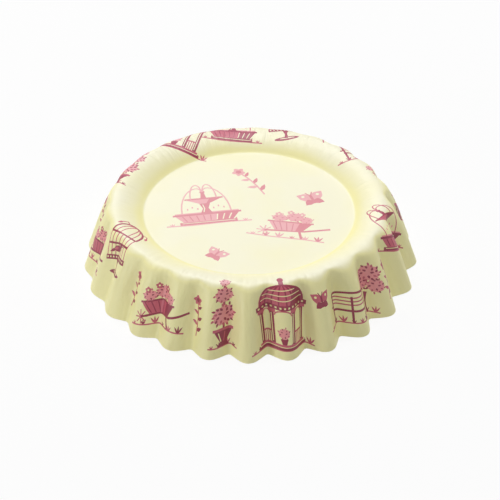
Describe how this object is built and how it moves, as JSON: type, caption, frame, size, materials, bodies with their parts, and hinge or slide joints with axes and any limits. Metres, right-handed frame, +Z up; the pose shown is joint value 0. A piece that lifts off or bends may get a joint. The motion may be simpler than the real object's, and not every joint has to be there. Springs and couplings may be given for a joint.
{
  "type": "cupcake liner",
  "caption": "Shallow fluted baking case of pressed paper, lying mouth down: a flat sunken base panel, a rounded raised rim and a skirt of 25 soft flutes",
  "frame": {"origin": "under the middle of the base panel, at the height of the lowest points of the hem", "axes": "+Z up, from the open mouth to the base panel, the front of the picture is -Y, +X to its right"},
  "size_m": [0.0795, 0.0796, 0.0164],
  "materials": {
    "paper": "satin greaseproof paper, cream, printed in rose"
  },
  "bodies": {
    "root": {"liner": "paper"}
  },
  "joints": []
}
